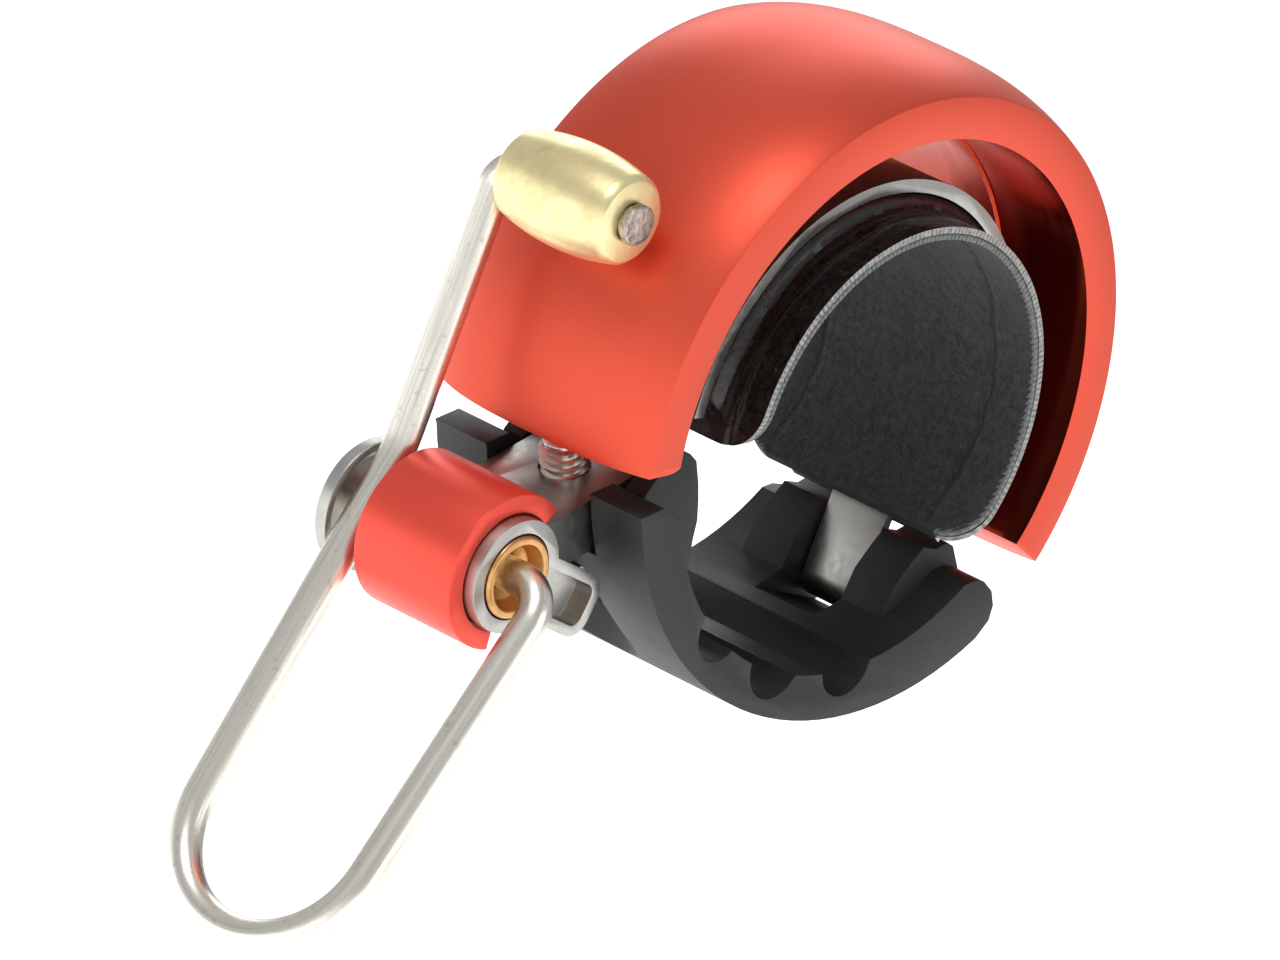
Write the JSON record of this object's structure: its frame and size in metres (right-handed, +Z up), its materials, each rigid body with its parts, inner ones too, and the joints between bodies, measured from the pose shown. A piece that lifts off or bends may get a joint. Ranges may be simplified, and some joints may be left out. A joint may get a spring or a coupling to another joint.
{
  "type": "bicycle bell",
  "caption": "C-shaped ring bell on a hinged, felt-lined handlebar clamp, struck by a brass barrel on a sprung wire finger lever.",
  "frame": {"origin": "on the handlebar's axis, midway between the bell's two rims", "axes": "+Y along the handlebar, +Z up towards the crown of the bell, -X towards the lever and hammer"},
  "size_m": [0.074, 0.0252, 0.0811],
  "materials": {
    "felt": "dark grey felt, cut edge lighter",
    "rubber": "black, slightly glossy",
    "steel": "satin, fine grain",
    "red_anodised": "satin red anodising with a soft metallic sheen",
    "bronze": "plain sintered bronze",
    "black_nylon": "matte black moulding",
    "stainless_wire": "drawn wire, satin",
    "brass": "pale satin brass, slightly mottled"
  },
  "bodies": {
    "clamp": {"felt_lining": "felt", "band_backing": "rubber", "saddle_band": "steel", "lever_frame": "steel", "near_rivet": "steel", "far_rivet": "steel", "bell_shell": "red_anodised", "bell_post": "steel", "isolator_washer": "rubber", "post_screw": "steel", "pivot_sleeve": "red_anodised", "near_bush": "bronze", "far_bush": "bronze", "return_spring": "steel"},
    "bracket": {"lower_bracket": "black_nylon", "hinge_pin": "steel"},
    "washer": {"clamp_washer": "steel"},
    "screw": {"clamp_screw": "steel"},
    "lever": {"wire_lever": "stainless_wire", "end_cup": "steel"},
    "striker": {"hammer": "brass"}
  },
  "joints": [
    {"name": "screw_travel", "type": "slide", "parent": "clamp", "child": "washer", "axis": [0.5446, 0, -0.8387], "range_m": [0, 0.0014]},
    {"name": "screw_turn", "type": "hinge", "parent": "washer", "child": "screw", "pos_m": [-0.022, 0, -0.0106], "axis": [0.5446, 0, -0.8387], "range_deg": [0, 724]},
    {"name": "bracket_swing", "type": "hinge", "parent": "clamp", "child": "bracket", "pos_m": [0.0183, 0, -0.0152], "axis": [0, -1, 0], "range_deg": [0, 2.8]},
    {"name": "lever_swing", "type": "hinge", "parent": "clamp", "child": "lever", "pos_m": [-0.0318, 0, -0.0185], "axis": [0, 1, 0], "range_deg": [-25, 2], "stiffness_Nm_per_rad": 0.3},
    {"name": "hammer_spin", "type": "hinge", "parent": "lever", "child": "striker", "pos_m": [-0.03275, -0.0001, 0.0101], "axis": [0, -1, 0], "continuous": true}
  ],
  "couplings": [
    {"joint": "screw_turn", "follows": "screw_travel", "rad_per_m": 8976},
    {"joint": "bracket_swing", "follows": "screw_travel", "rad_per_m": 32.906}
  ]
}
